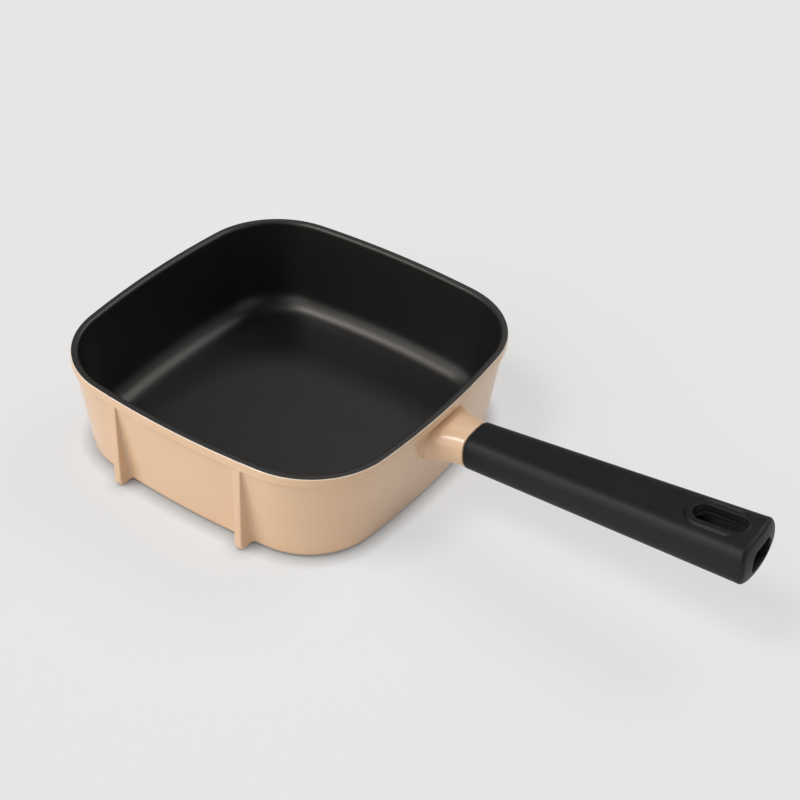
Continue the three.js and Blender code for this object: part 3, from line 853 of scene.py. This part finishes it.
plate_steel, plate_shader, _, plate_colour = worn_finish(
    "plate_steel",
    (PLATE_STEEL, PLATE_STEEL_DULL, PLATE_BRIGHT),
    grain=1400.0,
    drift=40.0,
    breaks=300.0,
    rubbed=0.5,
)
plate_tree = plate_shader.id_data
plate_distance = node_in(plate_tree, "ShaderNodeVectorMath", operation="LENGTH", Vector=placed(plate_tree))
turning = node_in(
    plate_tree,
    "ShaderNodeTexNoise",
    noise_dimensions="1D",
    W=plate_distance.outputs["Value"],
    Scale=2600.0,
    Detail=3.0,
)
surfaced(plate_shader, plate_colour, turning.outputs["Fac"], smooth=0.3, rough=0.46)
set_up(plate_shader, {"Metallic": 1.0})
embossed(plate_shader, turning.outputs["Fac"], depth=0.03)

fitted("base_disc", plate, "induction_plate", plate_steel, crease=15.0)

# Handle. A hollow-ended grip moulded in black phenolic resin with a fine satin texture. It is pushed over
# the tenon, and has a hang slot with a raised border near its open far end.

GRIP_LENGTH = 157.06
GRIP_START = (26.1, 20.7, 2.8)
GRIP_END = (36.1, 23.18, 3.75)
GRIP_START_ROUND = 1.2
GRIP_END_ROUND = 1.9
GRIP_END_BULGE = 2.0
GRIP_BULGE_FROM = 150.0
GRIP_COLUMNS = 144
GRIP_ROWS = 39
FACE_SHARES = (0.25, 0.5, 0.75)
SLOT_MIDDLE = 134.3
SLOT_HALF_STRAIGHT = 7.5
SLOT_RADIUS = 6.0
SLOT_BLOCK_FROM = 114.4
SLOT_BLOCK_TO = 152.4
SLOT_BLOCK_COLUMNS = 18
SLOT_ROWS = 32
SLOT_EDGE_ROUND = 0.6
SLOT_LEDGE = 0.4
SLOT_LEDGE_Z = 7.2
SLOT_LEDGE_STEPS = ((0.0, 0.0), (-SLOT_LEDGE, 0.15), (-SLOT_LEDGE, 0.5))
SLOT_FOOT_ROUND = 0.3
BEAD_WIDTH = 3.9
BEAD_HEIGHT = 0.45
BEAD_GROOVE = 0.5
BEAD_APRON = 1.7
BEAD_FAR_SHARE = 0.6
BEAD_FAR_END = (0.55, 0.95)
BEAD_TOP_SHARES = (0.6, 0.35)
HOLLOW_FROM = 109.8
HOLLOW_HALF_WIDTH = 9.55
HOLLOW_HALF_HEIGHT = 5.95
HOLLOW_CORNER = 4.5
HOLLOW_DROP = 1.0
HOLLOW_ROUND = 0.5
HOLLOW_MOUTH_ROW = 154.4
HOLLOW_END_ROW = 112.5
MOUTH_ROUND = 0.9
SOCKET_WIDTH = 15.6
SOCKET_HEIGHT = 11.6
SOCKET_END = 22.3
SOCKET_CHAMFER = 0.4
BORE_RADIUS = 3.0
DENSE_STEPS = 240
BOX_CORNER_POINTS = 60
WIDEST_SHARE = 0.999

# Each step of the slot's border: offset from its outer edge, share of the groove, and share of its height
BEAD_STEPS = (
    (0.75, 0.0, 0.0),
    (0.45, -0.7, 0.0),
    (0.2, -1.0, 0.0),
    (-0.1, -0.85, 0.0),
    (-0.4, -0.2, 0.3),
    (-0.9, 0.0, 0.75),
)


def resampled(line, steps):
    """A line with its points spaced evenly along it."""
    lengths = np.concatenate([[0], np.cumsum(np.linalg.norm(np.diff(line, axis=0), axis=1))])
    wanted = np.linspace(0, lengths[-1], steps + 1)
    return np.column_stack([np.interp(wanted, lengths, line[:, k]) for k in (0, 1)])


def even_ring(curve):
    """A closed curve, given as a dense ring that starts on +Y, resampled evenly inside each quarter."""
    quarter = (len(curve) - 1) // 4
    starts = range(0, 4 * quarter, quarter)
    return np.vstack([resampled(curve[a : a + quarter + 1], GRIP_COLUMNS // 4)[:-1] for a in starts])


dense_turn = np.linspace(0, 2 * math.pi, 4 * DENSE_STEPS + 1)


def squared_ring(width, height, exponent):
    """A squared ellipse, starting on +Y."""
    return even_ring(np.column_stack(squared(dense_turn, width, height, exponent)))


def boxed_ring(half_width, half_height, radius):
    """A rectangle with round corners, starting on +Y."""
    corner = [
        (half_width - radius + radius * math.cos(a), half_height - radius + radius * math.sin(a))
        for a in np.linspace(0, math.pi / 2, BOX_CORNER_POINTS)
    ]
    quarter = np.array([(half_width, 0), *corner, (0, half_height)])
    first = resampled(quarter, DENSE_STEPS)
    second = first[::-1] * (-1, 1)
    upper = np.vstack([first[:-1], second[:-1]])
    return even_ring(np.vstack([upper, -upper, upper[:1]]))


def grip_size(s):
    """Width, height and exponent of the grip at a place along it."""
    share = np.clip(s / GRIP_LENGTH, 0, 1)
    return [a + (b - a) * share for a, b in zip(GRIP_START, GRIP_END)]


def bulged(s, ring):
    """A ring across the handle, set back towards its edges where it lies in the bulged far end."""
    fall = (2 * ring[:, 0] / GRIP_END[0]) ** 2 + (2 * ring[:, 1] / GRIP_END[1]) ** 2
    set_back = GRIP_END_BULGE * ramp(s, GRIP_BULGE_FROM, GRIP_LENGTH - GRIP_END_ROUND)
    return np.column_stack([s - set_back * fall, ring])


def grip_ring(s, pulled_in=0.0):
    """A ring of the grip's outside."""
    width, height, exponent = grip_size(s)
    return bulged(s, squared_ring(width - 2 * pulled_in, height - 2 * pulled_in, exponent))


def hollow_ring(s, spread=0.0):
    """A ring of the hollow in the far end."""
    ring = boxed_ring(HOLLOW_HALF_WIDTH + spread, HOLLOW_HALF_HEIGHT + spread, HOLLOW_CORNER + spread)
    return bulged(s, ring - (0, HOLLOW_DROP))


grip = Skin()
block_s = np.linspace(SLOT_BLOCK_FROM, SLOT_BLOCK_TO, SLOT_ROWS + 1)
start_round = quarter_round(GRIP_START_ROUND, steps=7)
grip_lines = [grip_ring(short, inward) for short, inward in reversed(start_round)]
grip_s = np.linspace(GRIP_START_ROUND, SLOT_BLOCK_FROM, GRIP_ROWS + 1)[1:-1]
grip_lines += [grip_ring(s) for s in grip_s]
outer_first = len(grip_lines)
grip_lines += [grip_ring(s) for s in block_s]
outer_last = len(grip_lines) - 1
end_round = quarter_round(GRIP_END_ROUND, steps=10)
grip_lines += [grip_ring(GRIP_LENGTH - short, inward) for short, inward in end_round]
face_edge = grip_ring(GRIP_LENGTH, GRIP_END_ROUND)[:, 1:]
face_mouth = hollow_ring(GRIP_LENGTH, MOUTH_ROUND)[:, 1:]
for share in FACE_SHARES:
    grip_lines.append(bulged(GRIP_LENGTH, face_edge * (1 - share) + face_mouth * share))
mouth_round = quarter_round(MOUTH_ROUND, steps=6)
grip_lines += [hollow_ring(GRIP_LENGTH - inward, short) for short, inward in mouth_round]
grip_lines.append(hollow_ring(HOLLOW_MOUTH_ROW))
hollow_first = len(grip_lines)
grip_lines += [hollow_ring(s) for s in reversed(block_s)]
hollow_last = len(grip_lines) - 1
grip_lines += [hollow_ring(s) for s in (HOLLOW_END_ROW, HOLLOW_FROM + HOLLOW_ROUND)]
grip_lines.append(hollow_ring(HOLLOW_FROM, -HOLLOW_ROUND))
bore = (2 * BORE_RADIUS, 2 * BORE_RADIUS, ROUND_EXPONENT)
socket = (SOCKET_WIDTH, SOCKET_HEIGHT, TENON_EXPONENT)
socket_mouth = (SOCKET_WIDTH + 2 * SOCKET_CHAMFER, SOCKET_HEIGHT + 2 * SOCKET_CHAMFER, TENON_EXPONENT)
for s, section in (
    (HOLLOW_FROM, bore),
    (SOCKET_END, bore),
    (SOCKET_END, socket),
    (SOCKET_CHAMFER, socket),
    (0.0, socket_mouth),
):
    ring = squared_ring(*section)
    grip_lines.append(np.column_stack([np.full(len(ring), s), ring]))
grip_rings = [grip.ring(points) for points in grip_lines]

top_column = GRIP_COLUMNS // 4
bottom_column = 3 * GRIP_COLUMNS // 4
block_skip = {
    column
    for middle in (top_column, bottom_column)
    for column in range(middle - SLOT_BLOCK_COLUMNS, middle + SLOT_BLOCK_COLUMNS)
}
for i, (ring, after) in enumerate(zip(grip_rings, grip_rings[1:] + grip_rings[:1])):
    opened = outer_first <= i < outer_last or hollow_first <= i < hollow_last
    grip.band(ring, after, block_skip if opened else ())


def slot_curve(turn, offset):
    """The slot's outline at polar angles, moved outwards by an offset that may vary."""
    c, d = np.abs(np.cos(turn)), np.abs(np.sin(turn))
    radius = SLOT_RADIUS + offset
    flat = radius / np.maximum(d, 1e-9)
    bend = SLOT_HALF_STRAIGHT * c + np.sqrt(np.maximum(radius**2 - (SLOT_HALF_STRAIGHT * d) ** 2, 0))
    reach = np.where(flat * c <= SLOT_HALF_STRAIGHT, flat, bend)
    return SLOT_MIDDLE + reach * np.cos(turn), reach * np.sin(turn)


def grip_height(s, y):
    """The grip's surface over its axis."""
    width, height, exponent = grip_size(s)
    return height / 2 * (1 - np.minimum(np.abs(2 * y / width), WIDEST_SHARE) ** exponent) ** (1 / exponent)


def hollow_height(y, side):
    """The hollow's roof (side 1) or floor (side -1), measured from the handle's axis."""
    into_corner = np.clip(np.abs(y) - HOLLOW_HALF_WIDTH + HOLLOW_CORNER, 0, HOLLOW_CORNER)
    fall = HOLLOW_CORNER - np.sqrt(HOLLOW_CORNER**2 - into_corner**2)
    return side * (HOLLOW_HALF_HEIGHT - fall) - HOLLOW_DROP


outer_rows = grip_rings[outer_first : outer_last + 1]
hollow_rows = grip_rings[hollow_first : hollow_last + 1][::-1]
for side, middle in ((1, top_column), (-1, bottom_column)):
    block = range(middle - SLOT_BLOCK_COLUMNS, middle + SLOT_BLOCK_COLUMNS + 1)
    border = border_of(outer_rows, block)
    border_points = np.array([grip.points[i] for i in border])
    slot_turn = np.arctan2(border_points[:, 1], border_points[:, 0] - SLOT_MIDDLE)
    far_end = ramp(np.cos(slot_turn), *BEAD_FAR_END)
    bead = BEAD_WIDTH * (1 - BEAD_FAR_SHARE * far_end)
    raised = BEAD_HEIGHT if side > 0 else 0.0
    groove = BEAD_GROOVE * (1 - far_end) if side > 0 else 0 * far_end
    steps = [(bead + BEAD_APRON - BEAD_FAR_SHARE * far_end, 0.0)]
    steps += [(bead + offset, sunk * groove + up * raised) for offset, sunk, up in BEAD_STEPS]
    steps += [(bead * share, raised) for share in BEAD_TOP_SHARES]
    steps += [(short, raised - inward) for short, inward in quarter_round(SLOT_EDGE_ROUND, steps=5)]
    slot_lines = [border]
    for offset, lift in steps:
        s, y = slot_curve(slot_turn, offset)
        slot_lines.append(np.column_stack([s, y, side * (grip_height(s, y) + lift)]))
    if side > 0:
        for offset, depth in SLOT_LEDGE_STEPS:
            slot_lines.append(flat_ring(*slot_curve(slot_turn, offset), SLOT_LEDGE_Z - depth))
    slot_inset = SLOT_LEDGE if side > 0 else 0.0
    for offset, inward in ((-slot_inset, SLOT_FOOT_ROUND), (SLOT_FOOT_ROUND, 0.0)):
        s, y = slot_curve(slot_turn, offset)
        slot_lines.append(np.column_stack([s, y, hollow_height(y, side) + inward * side]))
    slot_lines.append(border_of(hollow_rows, block))
    grip.bands(slot_lines)

PHENOLIC = (0.005, 0.005, 0.0056)
PHENOLIC_WORN = (0.0085, 0.0085, 0.0093)
PHENOLIC_PALE = (0.028, 0.028, 0.03)

black_phenolic, grip_shader, grip_grain, grip_colour = worn_finish(
    "black_phenolic",
    (PHENOLIC, PHENOLIC_WORN, PHENOLIC_PALE),
    grain=1200.0,
    drift=35.0,
    breaks=500.0,
    rubbed=0.45,
    drifted=0.5,
)
surfaced(grip_shader, grip_colour, grip_grain.outputs["Height"], smooth=0.44, rough=0.54)
set_up(grip_shader, {"Specular IOR Level": 0.28})
embossed(grip_shader, grip_grain.outputs["Height"], depth=0.12)

fitted("moulded_grip", grip, "handle_grip", black_phenolic, handle_place)

# Washers and bolt. A zinc-plated steel bolt with a hexagon socket is turned into the tenon from the
# handle's hollow end. A split spring washer and a plain washer under its head draw the grip onto the neck.

BOLT_RADIUS = 2.5
BOLT_TIP = 2.0
BOLT_THREAD_FROM = 2.1
BOLT_THREAD_TO = 24.0
THREAD_PITCH = 0.8
THREAD_DEPTH = 0.4
THREAD_STEPS = 8
THREAD_FADE = (1.2, 0.2)
THREAD_TIP_SHARE = 0.9
BOLT_HEAD_AT = 112.4
BOLT_HEAD_RADIUS = 4.25
BOLT_HEAD_HEIGHT = 4.2
BOLT_HEAD_ROUND = 0.9
BOLT_SOCKET_ACROSS = 4.0
BOLT_HEAD_CHAMFER = 0.15
BOLT_SHANK_ROW = 70.0
BOLT_TIP_TAPER = 1.0
BOLT_SOCKET_DEPTH = 2.5
BOLT_SOCKET_CHAMFER = 0.12
BOLT_SOCKET_POINT = 0.5
WASHER_HOLE_RADIUS = 2.75
FLAT_WASHER_RADIUS = 4.6
FLAT_WASHER_AT = 109.9
FLAT_WASHER_THICKNESS = 1.0
FLAT_WASHER_ROUNDS = (0.1, 0.12, 0.22, 0.1)
SPRING_WASHER_RADIUS = 4.4
SPRING_WASHER_AT = 111.0
SPRING_WASHER_THICKNESS = 1.3
SPRING_WASHER_SPLIT = 1.2
SPRING_WASHER_SLANT_FROM = 2.6
SPRING_WASHER_ROUNDS = (0.12, 0.12, 0.12, 0.12)
SPRING_WASHER_STEPS = 60
BOLT_COLUMNS = 48

bolt_turn = np.linspace(0, 2 * math.pi, BOLT_COLUMNS + 1)[:-1]


def bolt_ring(s, radius):
    """A ring round the handle's axis."""
    return np.column_stack([s + 0 * bolt_turn, radius * np.cos(bolt_turn), radius * np.sin(bolt_turn)])


ZINC = (0.5, 0.51, 0.525)
ZINC_DULL = (0.4, 0.41, 0.42)
ZINC_BRIGHT = (0.66, 0.66, 0.66)

zinc_steel, zinc_shader, zinc_grain, zinc_colour = worn_finish(
    "zinc_steel", (ZINC, ZINC_DULL, ZINC_BRIGHT), grain=2400.0, drift=180.0, breaks=900.0, rubbed=0.6
)
surfaced(zinc_shader, zinc_colour, zinc_grain.outputs["Height"], smooth=0.28, rough=0.42)
set_up(zinc_shader, {"Metallic": 1.0})
embossed(zinc_shader, zinc_grain.outputs["Height"], depth=0.02)


def washer_section(radius, rounds, arc_steps):
    """A washer's section once round from its hole's wall, as radius and share of the thickness."""
    hole = WASHER_HOLE_RADIUS
    corners = [(hole, 0.5), (hole, 0), (radius, 0), (radius, 1), (hole, 1), (hole, 0.5)]
    return rounded(corners, rounds, arc_steps)[:-1]


flat_washer = Skin()
flat_section = washer_section(FLAT_WASHER_RADIUS, FLAT_WASHER_ROUNDS, arc_steps=4)
flat_rings = flat_washer.bands(
    [bolt_ring(FLAT_WASHER_AT + s * FLAT_WASHER_THICKNESS, radius) for radius, s in flat_section]
)
flat_washer.band(flat_rings[-1], flat_rings[0])
fitted("plain_washer", flat_washer, "flat_washer", zinc_steel, handle_place)

spring_washer = Skin()
split_half = SPRING_WASHER_SPLIT / 2 / SPRING_WASHER_RADIUS
spring_section = washer_section(SPRING_WASHER_RADIUS, SPRING_WASHER_ROUNDS, arc_steps=3)
spring_lines = []
for turn in np.linspace(split_half, 2 * math.pi - split_half, SPRING_WASHER_STEPS + 1):
    slant = SPRING_WASHER_SPLIT / 2 * ramp(abs(turn - math.pi), SPRING_WASHER_SLANT_FROM, math.pi)
    lean = slant if turn < math.pi else -slant
    points = []
    for radius, s in spring_section:
        at = turn + lean * (s - 0.5) / SPRING_WASHER_RADIUS
        along = SPRING_WASHER_AT + s * SPRING_WASHER_THICKNESS
        points.append((along, radius * math.cos(at), radius * math.sin(at)))
    spring_lines.append(np.array(points))
spring_rings = spring_washer.bands(spring_lines)
for ring in (spring_rings[0], spring_rings[-1]):
    spring_washer.cap(ring, np.mean([spring_washer.points[i] for i in ring], axis=0))
fitted("split_washer", spring_washer, "spring_washer", zinc_steel, handle_place)

bolt = Skin()
bolt_line = [(BOLT_TIP, BOLT_RADIUS - BOLT_TIP_TAPER)]
thread_fade = [BOLT_THREAD_TO - before for before in THREAD_FADE]
for s in np.arange(BOLT_THREAD_FROM, BOLT_THREAD_TO, THREAD_PITCH / THREAD_STEPS):
    climb = (s / THREAD_PITCH - bolt_turn / (2 * math.pi)) % 1.0
    ridge = 1 - np.abs(2 * climb - 1)
    depth = THREAD_DEPTH * (1 - ramp(s, *thread_fade))
    tip = max(BOLT_TIP + BOLT_TIP_TAPER - s, 0.0) * (1 - ridge) * THREAD_TIP_SHARE
    bolt_line.append((s, BOLT_RADIUS - depth * ridge - tip))
bolt_line += [
    (BOLT_THREAD_TO, BOLT_RADIUS),
    (BOLT_SHANK_ROW, BOLT_RADIUS),
    (BOLT_HEAD_AT, BOLT_RADIUS),
    (BOLT_HEAD_AT, BOLT_HEAD_RADIUS - BOLT_HEAD_CHAMFER),
    (BOLT_HEAD_AT + BOLT_HEAD_CHAMFER, BOLT_HEAD_RADIUS),
]
bolt_head_top = BOLT_HEAD_AT + BOLT_HEAD_HEIGHT
head_round = quarter_round(BOLT_HEAD_ROUND, steps=6)
bolt_line += [(bolt_head_top - short, BOLT_HEAD_RADIUS - inward) for short, inward in head_round]
hexagon = BOLT_SOCKET_ACROSS / 2 / np.cos((bolt_turn + math.pi / 6) % (math.pi / 3) - math.pi / 6)
for below, grow in ((0.0, BOLT_SOCKET_CHAMFER), (BOLT_SOCKET_CHAMFER, 0.0), (BOLT_SOCKET_DEPTH, 0.0)):
    bolt_line.append((bolt_head_top - below, hexagon + grow))
bolt_rings = bolt.bands([bolt_ring(s, radius) for s, radius in bolt_line])
bolt.cap(bolt_rings[0], (BOLT_TIP, 0, 0))
bolt.cap(bolt_rings[-1], (bolt_head_top - BOLT_SOCKET_DEPTH - BOLT_SOCKET_POINT, 0, 0))
fitted("handle_screw", bolt, "handle_bolt", zinc_steel, handle_place, crease=30.0)

# Studio. A wide pale table top in a dim, even room, under five soft lamps: a broad key light from the front
# left, a high one above it, and weaker ones from behind and from the right. None of it belongs to the pan.

FLOOR_HALF = 30000.0
FLOOR_PALE = (0.85, 0.85, 0.85)
FLOOR_GLOW = (0.785, 0.785, 0.785)
FLOOR_GLOW_SHARE = 0.7
FLOOR_CONTACT_REACH = 9.0
ROOM_STRENGTH = 0.09

# Each lamp: degrees from the front towards the left, degrees up, strength, and spread in degrees
STUDIO_LAMPS = {
    "key_light": (24.0, 24.0, 2.24, 76.0),
    "high_light": (40.0, 60.0, 1.08, 20.0),
    "back_light": (-165.0, 45.0, 0.84, 32.0),
    "side_light": (-106.0, 22.0, 0.6, 60.0),
    "sheen_light": (147.0, 44.0, 0.078, 14.0),
}

floor_mesh = bpy.data.meshes.new("table_top")
floor_signs = ((-1, -1), (1, -1), (1, 1), (-1, 1))
floor_corners = [(x * FLOOR_HALF * MM, y * FLOOR_HALF * MM, 0) for x, y in floor_signs]
floor_mesh.from_pydata(floor_corners, [], [(0, 1, 2, 3)])
floor = bpy.data.objects.new("table_top", floor_mesh)
bpy.context.scene.collection.objects.link(floor)
table_paint, table_shader = finish_of("table_paint")
table_tree = table_shader.id_data
set_up(table_shader, {"Base Color": (*FLOOR_PALE, 1.0), "Roughness": 0.9, "Specular IOR Level": 0.1})
floor_mesh.materials.append(table_paint)

# Seen directly or mirrored, the table is partly its lit self and mostly an even pale tone, which thins the
# shadow and darkens only where the pan comes close to the table
floor_contact = node_in(
    table_tree, "ShaderNodeAmbientOcclusion", Color=(*FLOOR_GLOW, 1.0), Distance=FLOOR_CONTACT_REACH * MM
)
floor_glow = node_in(table_tree, "ShaderNodeEmission", Color=floor_contact.outputs["Color"])
floor_path = table_tree.nodes.new("ShaderNodeLightPath")
floor_seen = floor_path.outputs["Is Camera Ray"]
for mirrored in ("Is Glossy Ray", "Is Transmission Ray"):
    either = node_in(table_tree, "ShaderNodeMath", operation="MAXIMUM")
    table_tree.links.new(floor_seen, either.inputs[0])
    table_tree.links.new(floor_path.outputs[mirrored], either.inputs[1])
    floor_seen = either.outputs["Value"]
floor_share = ranged(floor_seen, 0.0, 1.0, 0.0, FLOOR_GLOW_SHARE)
floor_mix = node_in(table_tree, "ShaderNodeMixShader", Fac=floor_share)
table_tree.links.new(table_shader.outputs["BSDF"], floor_mix.inputs[1])
table_tree.links.new(floor_glow.outputs["Emission"], floor_mix.inputs[2])
table_tree.links.new(floor_mix.outputs["Shader"], table_tree.nodes["Material Output"].inputs["Surface"])

for lamp_name, (leftward, upward, strength, spread) in STUDIO_LAMPS.items():
    lamp = bpy.data.lights.new(lamp_name, "SUN")
    lamp.energy = strength
    lamp.angle = math.radians(spread)
    holder = bpy.data.objects.new(lamp_name, lamp)
    holder.rotation_euler = (math.radians(90 - upward), 0, math.radians(-leftward))
    bpy.context.scene.collection.objects.link(holder)

room = bpy.data.worlds.new("studio_room")
room.use_nodes = True
bpy.context.scene.world = room
room_light = {"Color": (1.0, 1.0, 1.0, 1.0), "Strength": ROOM_STRENGTH}
set_up(room.node_tree.nodes["Background"], room_light)

# Camera at the photograph's angle: turned about the target, lifted, and rolled slightly
CAMERA_TARGET = (76.85, -10.8, 60.0)
CAMERA_AZIMUTH = math.radians(32.647)
CAMERA_ELEVATION = math.radians(38.447)
CAMERA_ROLL = math.radians(3.142)
CAMERA_DISTANCE = 810.0
CAMERA_FOCUS_PIXELS = 1590.99
PHOTO_PIXELS = 800

lens = bpy.data.cameras.new("photo_camera")
lens.sensor_width = 36.0
lens.lens = lens.sensor_width * CAMERA_FOCUS_PIXELS / PHOTO_PIXELS
lens.clip_start = 0.01
lens.clip_end = 100.0
camera = bpy.data.objects.new("photo_camera", lens)
camera.matrix_world = (
    Matrix.Translation(Vector(CAMERA_TARGET) * MM)
    @ Matrix.Rotation(CAMERA_AZIMUTH, 4, "Z")
    @ Matrix.Rotation(math.pi / 2 - CAMERA_ELEVATION, 4, "X")
    @ Matrix.Rotation(CAMERA_ROLL, 4, "Z")
    @ Matrix.Translation((0, 0, CAMERA_DISTANCE * MM))
)
bpy.context.scene.collection.objects.link(camera)
bpy.context.scene.camera = camera
bpy.context.scene.view_settings.view_transform = "Standard"
